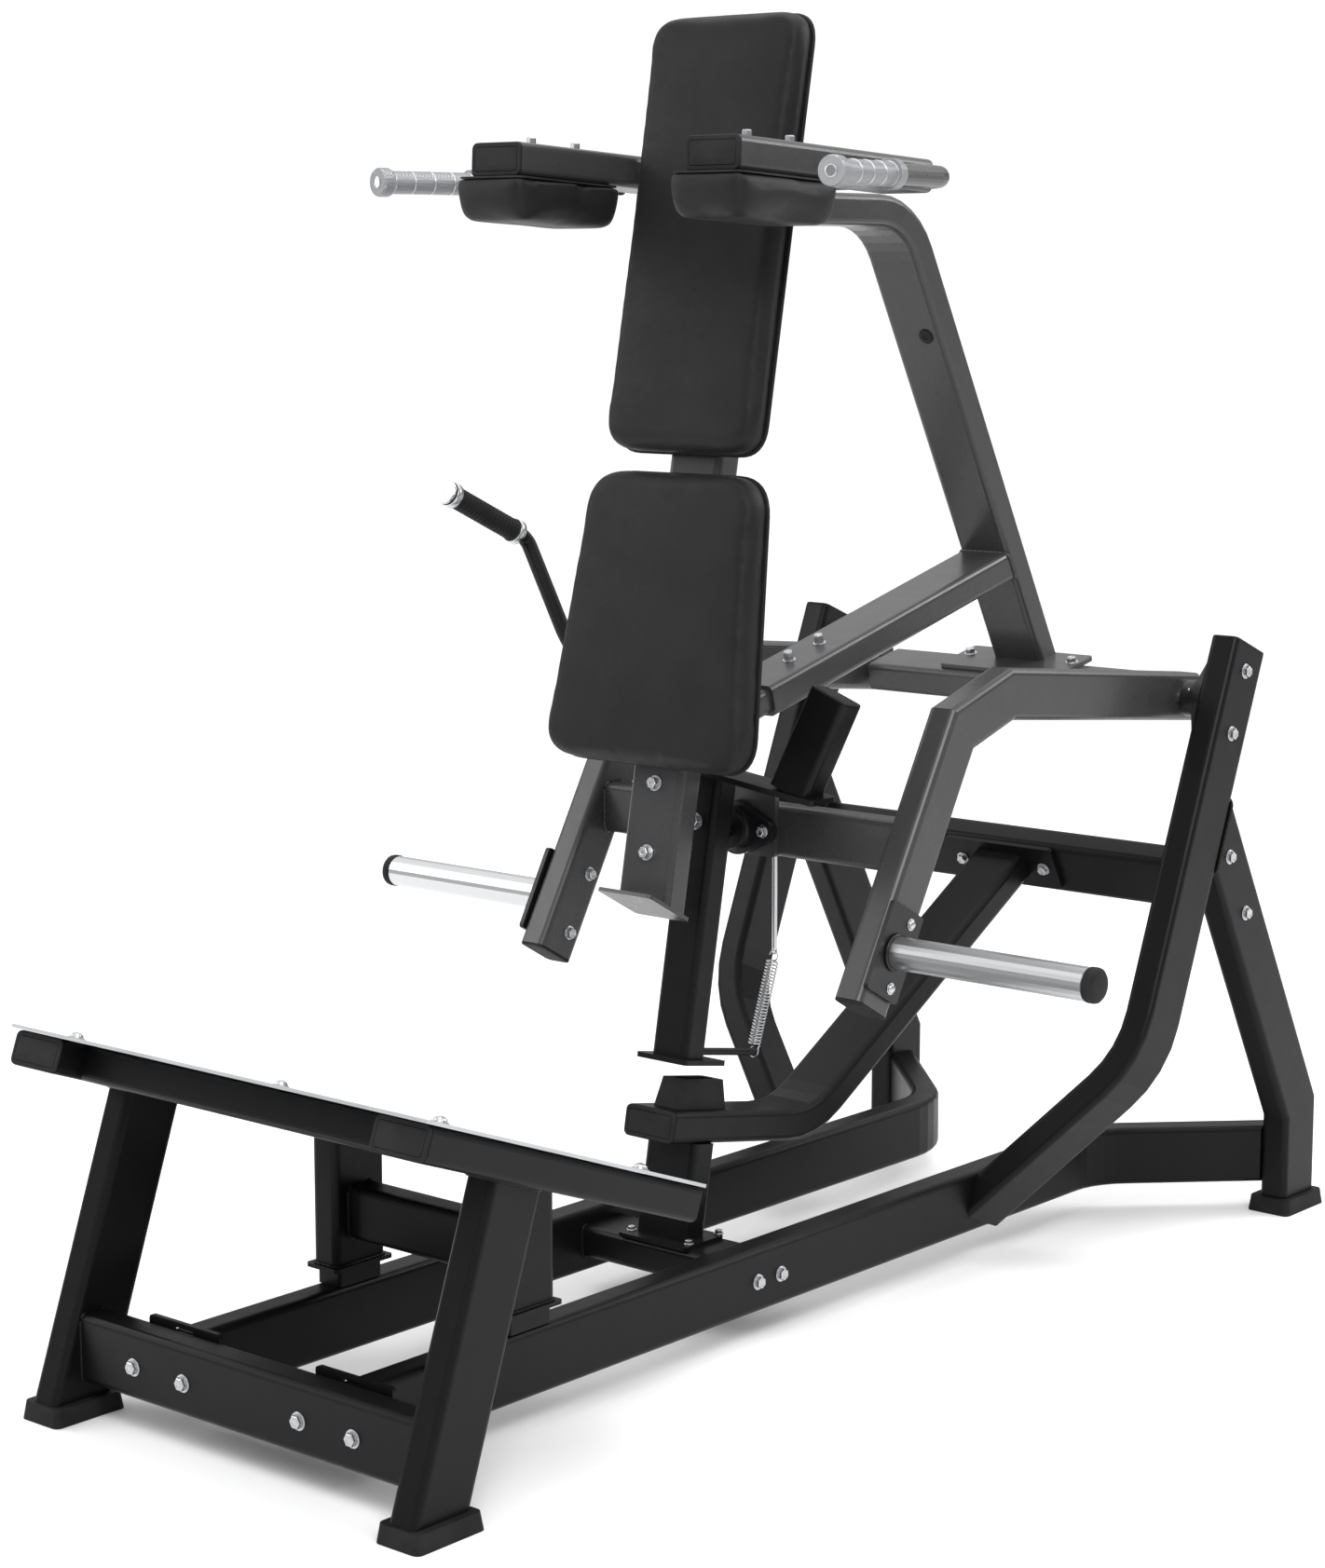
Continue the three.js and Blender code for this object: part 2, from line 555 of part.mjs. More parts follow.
function lockLeg() {
  const slope = Math.tan(rad(7));
  const bridgeDir = V(1, 0, -slope).normalize();
  const bridgeUp = V(slope, 0, 1).normalize();
  const leg = tube([onLock(0, LOCK_FOOT.z), onLock(0, LOCK_TOP_Z)], X, 2 * LOCK_X, TUBE_H,
    { end: [onLock(LOCK_X, LOCK_TOP_Z), bridgeUp] });
  const foot = plate(onLock(0, LOCK_FOOT.z).addScaledVector(lockBack, 8), X, lockBack, 100, 100, 8);
  solid('lock_leg', BLACK, join(leg, foot, lockShaft(), lockBar()));

  const bridgeAt = V(92, onLock(0, 845).y, LOCK_TOP_Z + 4.5 + GAP - (92 - LOCK_X) * slope);
  const flat = plate(bridgeAt, bridgeDir, Y, 252, 60, 9);
  const lean = rad(20);
  const weightUp = V(Math.sin(lean), LOCK_LEAN, Math.cos(lean)).normalize();
  const weightFoot = V(162, onLock(0, 845).y, bridgeAt.z - (162 - 92) * slope);
  const weight = tube([weightFoot, weightFoot.clone().addScaledVector(weightUp, 160)],
    V(Math.cos(lean), 0, -Math.sin(lean)), 72, TUBE_H);
  const under = plate(bridgeAt.clone().add(V(0, 0, -60)), bridgeDir, Y, 400, 200, 118);
  solid('counterweight', BLACK, join(cut(weight, under), flat));
}

const BEARING_FACE = CROSS.y - TUBE_H / 2 - GAP - PLATE;
const gripDir = V(-0.03, -0.906, 0.422).normalize();
const gripTurn = onLock(-444, 1176);
const gripAt = gripTurn.clone().addScaledVector(gripDir, 22);

function lockShaft() {
  return rod([onLock(0, LOCK_PIVOT_Z), V(0, BEARING_FACE - 6, LOCK_PIVOT_Z)], LOCK_SHAFT_R, { segments: 48 });
}

function lockBar() {
  return rod([onLock(0, 804), onLock(-185, 862), onLock(-340, 1034), gripTurn, gripAt], 12.5,
    { radii: [60, 90, 20] });
}

function lockHandle() {
  solid('lock_bearing', BLACK, flangeBearing(V(0, BEARING_FACE, LOCK_PIVOT_Z), V(0, -1, 0), X,
    LOCK_SHAFT_R + 0.1, 34));
  const profile = [[0, 0], [19, 0], [19, 14], [17, 16], [17, 150], [19, 152], [19, 168], [15, 172], [0, 172]];
  solid('lock_grip', RUBBER, turned(profile, gripAt.clone().addScaledVector(gripDir, GAP), gripDir));
}

function spring() {
  const rodEnd = onLock(0, 416).addScaledVector(lockBack, TUBE_H / 2 + GAP);
  const tip = rodEnd.clone().addScaledVector(lockBack, 170);
  solid('spring_rod', BLACK, rod([rodEnd, tip], 6, { segments: 10 }));
  const low = tip.clone().addScaledVector(lockBack, -8).add(V(0, 0, 8));
  const high = V(30, 1172, 544);
  solid('return_spring', STEEL, rod([low, high], 9, { segments: 16 }));
  solid('spring_hanger', STEEL, rod([high.clone().add(V(0, 0, 4)),
    V(30, 1172, CROSS.z - ARM_DEEP / 2 - GAP)], 4, { segments: 12 }));
}

platform();
frontFrame();
base();
rearFrame();
stop();
pivot();
arms();
crossTubes();
backbone();
padSupport();
backPads();
shoulderPads();
handles();
lockLeg();
lockHandle();
spring();

// The origin is on the floor, under the centre of the machine's outline.
group.position.y = -CENTRE_Y;

export default group;
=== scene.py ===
"""Looks for the hack squat machine: materials, cushions, bolts, caps, welds, camera and light."""
import math

import bpy
from mathutils import Matrix, Vector


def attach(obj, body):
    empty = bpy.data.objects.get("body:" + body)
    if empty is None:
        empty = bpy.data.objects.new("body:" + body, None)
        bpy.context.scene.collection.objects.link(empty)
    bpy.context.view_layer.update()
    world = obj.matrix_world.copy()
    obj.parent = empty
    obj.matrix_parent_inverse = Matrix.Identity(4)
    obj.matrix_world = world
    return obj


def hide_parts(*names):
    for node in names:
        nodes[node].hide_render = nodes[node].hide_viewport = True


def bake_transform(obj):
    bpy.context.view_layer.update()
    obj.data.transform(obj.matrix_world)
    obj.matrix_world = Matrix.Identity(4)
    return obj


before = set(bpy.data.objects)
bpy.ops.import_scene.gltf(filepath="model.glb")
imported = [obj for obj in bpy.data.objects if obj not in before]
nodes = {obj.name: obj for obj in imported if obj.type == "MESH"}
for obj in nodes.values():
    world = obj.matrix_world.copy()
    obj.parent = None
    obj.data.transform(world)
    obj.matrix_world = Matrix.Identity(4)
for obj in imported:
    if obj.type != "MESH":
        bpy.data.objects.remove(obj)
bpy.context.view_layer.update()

# Driving measures in millimetres: X from the middle, Y from the front feet, Z from the floor.
CENTRE_Y = 1087.5
TUBE_W, TUBE_H = 100, 50
BEAD = 1
RAIL_X = 168.5
LEG_X = 355
BEAM_FACE_Y = 60
UPRIGHT_X = 421.75
UPRIGHT_BEND = (1634, 343)
UPRIGHT_ANGLE = 68
UPRIGHT_RISE = 704
REAR_LEG_MITRE = (2110, 180.5)
REAR_LEG_ANGLE = 119
REAR_BEAM = (1875, 603)
BEARING_X = 396.4
PIVOT = (1861, 908)
PLATFORM_EDGE = (14.9, 567.4)
PLATFORM_TILT = 20.2
SIDE_TUBE_X = 356
BRACE_CORNER = (1256.4, 251.2)
BRACE_RUN = 354
BRACE_FALL = 10.3
ARM_X = 317
ARM_BEND = (1242, 919)
ARM_FOOT = (1017, 524)
HORN = (1059, 605)
HORN_LEAN = 61
HORN_CAP_AT = 341.2
LOWER_CROSS = (1158, 746)
DIAGONAL_FOOT = (1903, 946)
DIAGONAL_BEND = (1490, 1700)
STRUT_TOP = (1143, 946.9)
STRUT_SLOPE = 14.63
PAD_LEAN = 10.54
PAD_FOOT = (888, 674)
SHOULDER_X = 208
SHOULDER_FRONT = (803, 1768)
SHOULDER_FALL = math.degrees(math.atan(0.052))
SHOULDER_REAR_Y = 1252
HANDLE_TIP = (435, 777, 1738)
HANDLE_SPLAY = 10
X, Y, Z = Vector((1, 0, 0)), Vector((0, 1, 0)), Vector((0, 0, 1))


# ------------------------------------------------------------------ measures
def at(x, y, z):
    """A point given in millimetres, with Y counted from the front feet."""
    return Vector((x, y - CENTRE_Y, z)) / 1000


def mm(v):
    return v / 1000


def tilt(degrees):
    """A direction in the YZ plane, at an angle above +Y."""
    a = math.radians(degrees)
    return Vector((0, math.cos(a), math.sin(a)))


# ------------------------------------------------------------------ materials
def shader(name, color, rough, metal=0.0, coat=0.0, shine=0.5):
    mat = bpy.data.materials.new(name)
    mat.use_nodes = True
    tree = mat.node_tree
    bsdf = tree.nodes["Principled BSDF"]
    bsdf.inputs["Base Color"].default_value = (*color, 1)
    bsdf.inputs["Roughness"].default_value = rough
    bsdf.inputs["Metallic"].default_value = metal
    bsdf.inputs["Specular IOR Level"].default_value = shine
    bsdf.inputs["Coat Weight"].default_value = coat
    bsdf.inputs["Coat Roughness"].default_value = 0.12
    return mat, tree, bsdf


def noise(tree, scale, detail=4.0, stretch=None):
    coords = tree.nodes.new("ShaderNodeTexCoord")
    tex = tree.nodes.new("ShaderNodeTexNoise")
    tex.inputs["Scale"].default_value = scale
    tex.inputs["Detail"].default_value = detail
    source = coords.outputs["Object"]
    if stretch:
        mapping = tree.nodes.new("ShaderNodeMapping")
        mapping.inputs["Scale"].default_value = stretch
        tree.links.new(source, mapping.inputs["Vector"])
        source = mapping.outputs["Vector"]
    tree.links.new(source, tex.inputs["Vector"])
    return tex.outputs["Fac"]


def ramp(tree, fac, low, high, start=0.35, stop=0.65):
    node = tree.nodes.new("ShaderNodeValToRGB")
    node.color_ramp.elements[0].position = start
    node.color_ramp.elements[1].position = stop
    node.color_ramp.elements[0].color = (*low, 1)
    node.color_ramp.elements[1].color = (*high, 1)
    tree.links.new(fac, node.inputs["Fac"])
    return node.outputs["Color"]


def spread(tree, fac, low, high):
    node = tree.nodes.new("ShaderNodeMapRange")
    node.inputs["To Min"].default_value = low
    node.inputs["To Max"].default_value = high
    tree.links.new(fac, node.inputs["Value"])
    return node.outputs["Result"]


def bump(tree, bsdf, fac, strength, distance):
    node = tree.nodes.new("ShaderNodeBump")
    node.inputs["Strength"].default_value = strength
    node.inputs["Distance"].default_value = distance
    tree.links.new(fac, node.inputs["Height"])
    tree.links.new(node.outputs["Normal"], bsdf.inputs["Normal"])


def paint(name, color, rough, metal=0.0, coat=0.0, peel=420.0, lighter=1.15, shine=0.25,
          grit=0.06):
    """Powder coat: fine orange peel and a slight unevenness of tone and gloss."""
    mat, tree, bsdf = shader(name, color, rough, metal, coat, shine)
    bright = tuple(min(1, c * lighter) for c in color)
    mottled = ramp(tree, noise(tree, 9), color, bright)
    tree.links.new(mottled, bsdf.inputs["Base Color"])
    gloss = spread(tree, noise(tree, 35), rough - 0.05, rough + 0.08)
    tree.links.new(gloss, bsdf.inputs["Roughness"])
    bump(tree, bsdf, noise(tree, peel, 2), grit, 0.0003)
    return mat


def vinyl(name, color):
    mat, tree, bsdf = shader(name, color, 0.5, shine=0.17)
    grain = tree.nodes.new("ShaderNodeTexVoronoi")
    grain.feature = "DISTANCE_TO_EDGE"
    grain.inputs["Scale"].default_value = 420
    coords = tree.nodes.new("ShaderNodeTexCoord")
    tree.links.new(coords.outputs["Object"], grain.inputs["Vector"])
    tree.links.new(ramp(tree, noise(tree, 14), color, tuple(c * 1.35 for c in color)),
                   bsdf.inputs["Base Color"])
    tree.links.new(spread(tree, noise(tree, 60), 0.42, 0.6), bsdf.inputs["Roughness"])
    bump(tree, bsdf, grain.outputs["Distance"], 0.35, 0.0008)
    bsdf.inputs["Sheen Weight"].default_value = 0.02
    return mat


def rubber(name, color=(0.007, 0.007, 0.0072)):
    mat, tree, bsdf = shader(name, color, 0.66, shine=0.2)
    tree.links.new(ramp(tree, noise(tree, 22), color, tuple(c * 1.7 for c in color)),
                   bsdf.inputs["Base Color"])
    bump(tree, bsdf, noise(tree, 700, 3), 0.25, 0.0005)
    return mat


def steel(name, color=(0.56, 0.565, 0.575), rough=0.3, brush=(1.5, 160, 160)):
    """Bright steel, with fine marks along X by default."""
    mat, tree, bsdf = shader(name, color, rough, 1.0)
    marks = noise(tree, 40, 6, brush)
    tree.links.new(spread(tree, marks, rough - 0.05, rough + 0.07), bsdf.inputs["Roughness"])
    tone = ramp(tree, marks, tuple(c * 0.94 for c in color), color)
    tree.links.new(tone, bsdf.inputs["Base Color"])
    bump(tree, bsdf, marks, 0.03, 0.0002)
    return mat


def knurled(name):
    """Steel with a crossed pattern of fine ridges, and painted shade darkening the grooves between
    them.
    """
    mat, tree, bsdf = shader(name, (0.55, 0.56, 0.58), 0.32, 1.0)
    coords = tree.nodes.new("ShaderNodeTexCoord")
    waves = []
    for turn in (0.6, -0.6):
        mapping = tree.nodes.new("ShaderNodeMapping")
        mapping.inputs["Rotation"].default_value = (turn, turn, turn * 1.3)
        wave = tree.nodes.new("ShaderNodeTexWave")
        wave.inputs["Scale"].default_value = 210
        tree.links.new(coords.outputs["Object"], mapping.inputs["Vector"])
        tree.links.new(mapping.outputs["Vector"], wave.inputs["Vector"])
        waves.append(wave.outputs["Fac"])
    both = tree.nodes.new("ShaderNodeMath")
    both.operation = "MULTIPLY"
    tree.links.new(waves[0], both.inputs[0])
    tree.links.new(waves[1], both.inputs[1])
    # Painted shade: the colour follows the ridge height, dark in the grooves and light on the
    # ridges.
    tree.links.new(ramp(tree, both.outputs[0], (0.2, 0.205, 0.215), (0.46, 0.47, 0.48), 0.1, 0.8),
                   bsdf.inputs["Base Color"])
    bump(tree, bsdf, both.outputs[0], 0.6, 0.0008)
    return mat


BLACK = paint("black_powder_coat", (0.0038, 0.0038, 0.0041), 0.36, shine=0.15)
GREY = paint("grey_gloss_paint", (0.036, 0.0362, 0.0375), 0.27, peel=500, lighter=1.08, shine=0.36)
DARK = paint("bearing_black", (0.007, 0.007, 0.0075), 0.34, shine=0.3)
SILVER = paint("platform_silver_grit", (0.42, 0.43, 0.44), 0.45, 0.55, peel=650, shine=0.5,
               grit=0.7)
RUBBER = rubber("moulded_rubber")
CAP = rubber("black_end_cap", (0.008, 0.008, 0.0085))
GRIP = rubber("ribbed_grip_rubber", (0.007, 0.007, 0.0075))
VINYL = vinyl("grained_vinyl", (0.0075, 0.0075, 0.008))
BOARD = rubber("pad_back_board", (0.012, 0.012, 0.0125))
STEEL = steel("bright_steel")
ZINC = steel("zinc_bolt", (0.5, 0.505, 0.52), 0.28, (20, 20, 20))
KNURL = knurled("knurled_steel")

NODE_LOOKS = {
    "platform_plate": SILVER, "lower_cross_tube": GREY, "pivot_cross_tube": GREY,
    "rear_diagonal": GREY, "strut": GREY, "pad_tube": GREY, "shoulder_crossbar": GREY, "arm": GREY,
    "shoulder_arm": GREY, "handle_tube": GREY, "front_foot": RUBBER, "rear_foot": RUBBER,
    "stop_bumper": RUBBER, "lock_grip": GRIP, "weight_horn": STEEL, "pivot_stub": STEEL,
    "handle_grip": KNURL, "return_spring": ZINC, "spring_hanger": ZINC, "upper_back_pad": VINYL,
    "lower_back_pad": VINYL, "shoulder_pad": VINYL, "pivot_bearing": DARK, "lock_bearing": DARK,
    "horn_plate": DARK, "spring_rod": DARK,
}


def dress_nodes():
    """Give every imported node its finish, smooth curves and a small soft edge."""
    for name, obj in nodes.items():
        key = name[:-2] if name.endswith(("_L", "_R")) else name
        obj.data.materials.clear()
        obj.data.materials.append(NODE_LOOKS.get(key, BLACK))
        for face in obj.data.polygons:
            face.use_smooth = True
        bevel = obj.modifiers.new("soft_edge", "BEVEL")
        bevel.width = 0.0012
        bevel.segments = 2
        bevel.limit_method = "ANGLE"
        bevel.angle_limit = math.radians(42)
        bevel.harden_normals = False
        split = obj.modifiers.new("crease", "EDGE_SPLIT")
        split.split_angle = math.radians(38)


# ------------------------------------------------------------------ mesh pieces
def piece(name, verts, faces, mat, body, smooth=False, matrix=None):
    mesh = bpy.data.meshes.new(name)
    mesh.from_pydata([tuple(v) for v in verts], [], faces)
    if matrix is not None:
        mesh.transform(matrix)
    mesh.validate()
    mesh.update()
    mesh.materials.append(mat)
    for face in mesh.polygons:
        face.use_smooth = smooth
    obj = bpy.data.objects.new(name, mesh)
    bpy.context.scene.collection.objects.link(obj)
    if body:
        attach(obj, body)
    return obj


def rings(sections, closed_ends=True):
    """Skin a list of rings, each with the same number of points."""
    n = len(sections[0])
    verts = [p for ring in sections for p in ring]
    faces = []
    for i in range(len(sections) - 1):
        for j in range(n):
            k = (j + 1) % n
            faces.append((i * n + j, i * n + k, (i + 1) * n + k, (i + 1) * n + j))
    if closed_ends:
        faces.append(tuple(reversed(range(n))))
        faces.append(tuple((len(sections) - 1) * n + j for j in range(n)))
    return verts, faces


def basis(origin, normal, along=None):
    """A placement whose local Z is the normal and local X is the other direction."""
    n = normal.normalized()
    a = along if along is not None else (X if abs(n.x) < 0.9 else Z)
    a = (a - n * a.dot(n)).normalized()
    b = n.cross(a)
    m = Matrix((a, b, n)).transposed().to_4x4()
    m.translation = origin
    return m


def round_ring(r, z, n=24):
    """A circle of points at height z."""
    turns = (2 * math.pi * i / n for i in range(n))
    return [(r * math.cos(a), r * math.sin(a), z) for a in turns]


def box_ring(w, h, r, z, per=5):
    """A rectangle with round corners, as a ring of points at height z."""
    points = []
    for cx, cy, start in ((1, 1, 0), (-1, 1, 90), (-1, -1, 180), (1, -1, 270)):
        for k in range(per + 1):
            a = math.radians(start + 90 * k / per)
            x = cx * (w / 2 - r) + r * math.cos(a)
            y = cy * (h / 2 - r) + r * math.sin(a)
            points.append((x, y, z))
    return points


def lathe(profile, sides=36):
    """Rings of a turned shape, from its radius and height in millimetres at each step."""
    return [round_ring(r / 1000, z / 1000, sides) for r, z in profile]


def turned(name, profile, mat, body, place, sides=36, hoop=False, smooth=False):
    """A turned piece. A hoop's last step joins its first, so it fits round a bar."""
    sections = lathe(profile, sides)
    if hoop:
        sections.append(sections[0])
    verts, faces = rings(sections, closed_ends=not hoop)
    return piece(name, verts, faces, mat, body, smooth=smooth, matrix=place)


count = {"n": 0}


def label(word):
    count["n"] += 1
    return f"{word}_{count['n']:03d}"


def bolt(point, normal, body, size=8.0, tall=6.5, dome=False, proud=0.0):
    """A washer and a hex head standing on a face, or a dome head."""
    s = size / 1000
    base = proud / 1000
    washer = [round_ring(s * 1.45, base), round_ring(s * 1.45, base + 0.0012),
              round_ring(s * 1.35, base + 0.0016)]
    verts, faces = rings(washer)
    sides = 24 if dome else 6
    top = base + 0.0016
    h = tall / 1000
    if dome:
        head = [round_ring(s * 1.15 * math.cos(a), top + h * math.sin(a), sides)
                for a in (0, 0.3, 0.6, 0.9, 1.2, 1.45)]
    else:
        head = [round_ring(s * 1.1, top, sides), round_ring(s * 1.1, top + h * 0.85, sides),
                round_ring(s * 0.95, top + h, sides), round_ring(s * 0.6, top + h, sides),
                round_ring(s * 0.5, top + h * 0.92, sides)]
    v2, f2 = rings(head)
    offset = len(verts)
    verts = verts + v2
    faces = faces + [tuple(i + offset for i in f) for f in f2]
    obj = piece(label("bolt"), verts, faces, ZINC, body, matrix=basis(point, normal))
    bevel = obj.modifiers.new("soft", "BEVEL")
    bevel.width = 0.0004
    bevel.segments = 2
    return obj


def end_cap(centre, out, wide_dir, w, h, body):
    """A moulded plug: a thin rim on the tube's end and a raised inner panel."""
    steps = ((1, 0.3), (1, 2.6), (3, 4.0), (13, 4.0), (14.5, 2.6), (16, 4.0), (34, 4.4))
    face = [box_ring(mm(w - k), mm(h - k), mm(max(2.0, 9.5 - k / 3)), mm(z)) for k, z in steps]
    verts, faces = rings(face)
    place = basis(centre, out, wide_dir)
    obj = piece(label("end_cap"), verts, faces, CAP, body, matrix=place)
    bevel = obj.modifiers.new("soft", "BEVEL")
    bevel.width = 0.0005
    bevel.segments = 2
    return obj


BEAD_RADIUS = 0.0026
BEAD_STEP = 0.003
BEAD_SIDES = 7
RIPPLE = 0.16


def weld(points, body, mat):
    """A rippled bead round a closed path, with its points given in metres."""
    dense = []
    for a, b in zip(points, points[1:] + points[:1]):
        steps = max(1, int((b - a).length / BEAD_STEP))
        dense += [a.lerp(b, i / steps) for i in range(steps)]
    sections = []
    up = Z
    for i, p in enumerate(dense):
        t = (dense[(i + 1) % len(dense)] - dense[i - 1]).normalized()
        if abs(t.dot(up)) > 0.95:
            up = Y
        u = (up - t * up.dot(t)).normalized()
        v = t.cross(u)
        r = BEAD_RADIUS * (1 + RIPPLE * math.sin(i * 1.9))
        turns = (2 * math.pi * k / BEAD_SIDES for k in range(BEAD_SIDES))
        sections.append([p + (u * math.cos(a) + v * math.sin(a)) * r for a in turns])
    sections.append(sections[0])
    verts, faces = rings(sections, closed_ends=False)
    return piece(label("weld"), verts, faces, mat, body, smooth=True)


def weld_box(centre, normal, wide_dir, w, h, body, cut=None):
    """A bead round a rectangular tube's end, square to it or on a sloping cut (point, normal)."""
    m = basis(centre, normal, wide_dir)
    points = [m @ Vector(p) for p in box_ring(mm(w + BEAD), mm(h + BEAD), 0.010, 0.0, 3)]
    if cut:
        origin, face = cut
        points = [p - normal * ((p - origin).dot(face) / normal.dot(face)) for p in points]
    mat, slot = (BLACK, "frame_black") if body == "frame" else (GREY, "carriage_grey")
    return weld(points, body, mat)


# ------------------------------------------------------------------ cushions
# How far each layer of a pad is drawn in (mm), at each share of its depth.
PAD_LAYERS = [(2, 0.0), (0.5, 0.06), (0, 0.3), (0, 0.55), (2, 0.75), (7, 0.93), (14, 1.0)]
SHOULDER_LAYERS = [(0, 0.0), (0, 0.08), (3, 0.4), (6, 0.65), (10, 0.85), (17, 0.96), (26, 1.0)]
# Corners across and along the pad support, and the corner radius (mm).
BACK_PADS = {
    "upper": ([(-145, 666), (145, 666), (145, 1328), (-145, 1328)], 48),
    "lower": ([(-200, 194), (200, 194), (162, 638), (-162, 638)], 60),
}
SHOULDER_CORNERS = [(-71, -26), (71, -26), (71, 211), (-71, 211)]
SHOULDER_CORNER_R = 24
# Depths and crowns in metres.
BACK_DEPTH, BACK_CROWN = 0.047, 0.006
SHOULDER_DEPTH, SHOULDER_CROWN = 0.061, 0.002
BACK_BOARD, SHOULDER_BOARD = 0.0045, 0.0028
HEM = ((0.003, 0.0), (-0.0005, 0.001), (-0.0005, 0.0028), (0.003, 0.0038))


VOXEL = 0.006
CLOTH_FRAMES = 12
REMESH_INSET = 0.001


def outline_pad(outline, depth, place, name, node, crown, layers):
    """A stuffed pad: a soft-edged slab, swelled by cloth simulation and crowned in the middle."""
    sections = []
    cx = sum(p[0] for p in outline) / len(outline)
    cy = sum(p[1] for p in outline) / len(outline)
    for inset, share in layers:
        ring = []
        for x, y in outline:
            d = Vector((x - cx, y - cy)).normalized()
            ring.append((x - d.x * mm(inset), y - d.y * mm(inset), share * depth))
        sections.append(ring)
    verts, faces = rings(sections)
    obj = piece(name, verts, faces, VINYL, "carriage", smooth=True, matrix=place)
    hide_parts(node)
    remesh = obj.modifiers.new("remesh", "REMESH")
    remesh.mode = "VOXEL"
    remesh.voxel_size = VOXEL
    apply_all(obj)
    swell(obj)
    flatten_back(obj, place.translation, place.to_3x3() @ Z)
    crown_front(obj, place, outline, depth, crown)
    smooth = obj.modifiers.new("smooth", "CORRECTIVE_SMOOTH")
    smooth.factor = 0.5
    smooth.iterations = 4
    smooth.use_only_smooth = True
    subdivide = obj.modifiers.new("sub", "SUBSURF")
    subdivide.levels = 1
    subdivide.render_levels = 1
    for face in obj.data.polygons:
        face.use_smooth = True
    return obj


def apply_all(obj):
    view = bpy.context.evaluated_depsgraph_get()
    mesh = bpy.data.meshes.new_from_object(obj.evaluated_get(view))
    obj.modifiers.clear()
    obj.data = mesh


def swell(obj, cap=0.003):
    """Blow the pad up a little as cloth, and hold each point within a cap of where it was."""
    before = [v.co.copy() for v in obj.data.vertices]
    cloth = obj.modifiers.new("cloth", "CLOTH")
    s = cloth.settings
    s.use_pressure = True
    s.uniform_pressure_force = 3.0
    s.quality = 4
    s.tension_stiffness = 20
    s.compression_stiffness = 20
    s.bending_stiffness = 2
    s.effector_weights.gravity = 0
    cloth.collision_settings.use_collision = False
    scene = bpy.context.scene
    for f in range(1, CLOTH_FRAMES + 1):
        scene.frame_set(f)
    apply_all(obj)
    for v, old in zip(obj.data.vertices, before):
        move = v.co - old
        if move.length > cap:
            v.co = old + move.normalized() * cap
    scene.frame_set(1)


def flatten_back(obj, origin, normal, slack=0.0008):
    """Press flat whatever swelled out behind the plane of the board."""
    for v in obj.data.vertices:
        d = (v.co - origin).dot(normal)
        if d < slack:
            v.co -= normal * d


def crown_front(obj, place, outline, depth, crown):
    """Keep the pad within its space, and let the middle of the front stand proudest."""
    inverse = place.inverted()
    xs = [p[0] for p in outline]
    ys = [p[1] for p in outline]
    mid = ((max(xs) + min(xs)) / 2, (max(ys) + min(ys)) / 2)
    half = ((max(xs) - min(xs)) / 2, (max(ys) - min(ys)) / 2)
    for v in obj.data.vertices:
        p = inverse @ v.co
        if p.z > depth * 0.55:
            a = min(1, abs(p.x - mid[0]) / half[0])
            b = min(1, abs(p.y - mid[1]) / half[1])
            p.z = min(p.z, depth * 1.02) + crown * ((1 - a ** 3) * (1 - b ** 4) - 0.6)
            v.co = place @ p


def rounded_outline(corners, r, per=8):
    points = []
    n = len(corners)
    for i, c in enumerate(corners):
        c = Vector(c)
        before = (Vector(corners[i - 1]) - c).normalized() * r + c
        after = (Vector(corners[(i + 1) % n]) - c).normalized() * r + c
        for k in range(per + 1):
            t = k / per
            points.append(tuple(before * (1 - t) ** 2 + c * 2 * t * (1 - t) + after * t ** 2))
    dense = []
    for i, p in enumerate(points):
        a, b = Vector(points[i - 1]), Vector(p)
        steps = max(1, int((b - a).length / 0.02))
        dense += [tuple(a.lerp(b, (k + 1) / steps)) for k in range(steps)]
    return dense


pad_up = tilt(90 - PAD_LEAN)
pad_out = tilt(180 - PAD_LEAN)


def pad_point(x, along, out):
    return at(x, *PAD_FOOT) + (pad_up * along + pad_out * out) / 1000


def pad_place(out):
    """A placement on the pad support: X across, Y up along it and Z out of it."""
    place = Matrix((X, pad_up, pad_out)).transposed().to_4x4()
    place.translation = pad_point(0, 0, out)
    return place


def slab(outline, profile):
    """Skin an outline through a list of (inset, height) steps."""
    return rings([[(x, y, z) for x, y in shrink(outline, inset)] for inset, z in profile])


def back_pads():
    for name, (corners, r) in BACK_PADS.items():
        outline = rounded_outline([(x / 1000, y / 1000) for x, y in corners], r / 1000)
        start = shrink(outline, REMESH_INSET)
        outline_pad(start, BACK_DEPTH, pad_place(9), f"{name}_cushion", f"{name}_back_pad",
                    BACK_CROWN, PAD_LAYERS)
        verts, faces = slab(outline, ((0.004, 0.0), (0.004, BACK_BOARD)))
        piece(f"{name}_pad_board", verts, faces, BOARD, "carriage", matrix=pad_place(5))
        verts, faces = slab(outline, HEM)
        piece(f"{name}_pad_hem", verts, faces, VINYL, "carriage", smooth=True,
              matrix=pad_place(10))


def shrink(outline, by):
    cx = sum(p[0] for p in outline) / len(outline)
    cy = sum(p[1] for p in outline) / len(outline)
    result = []
    for i, p in enumerate(outline):
        a, b = Vector(outline[i - 1]), Vector(outline[(i + 1) % len(outline)])
        t = (b - a).normalized()
        n = Vector((-t.y, t.x))
        if n.dot(Vector((cx - p[0], cy - p[1]))) < 0:
            n = -n
        result.append((p[0] + n.x * by, p[1] + n.y * by))
    return result


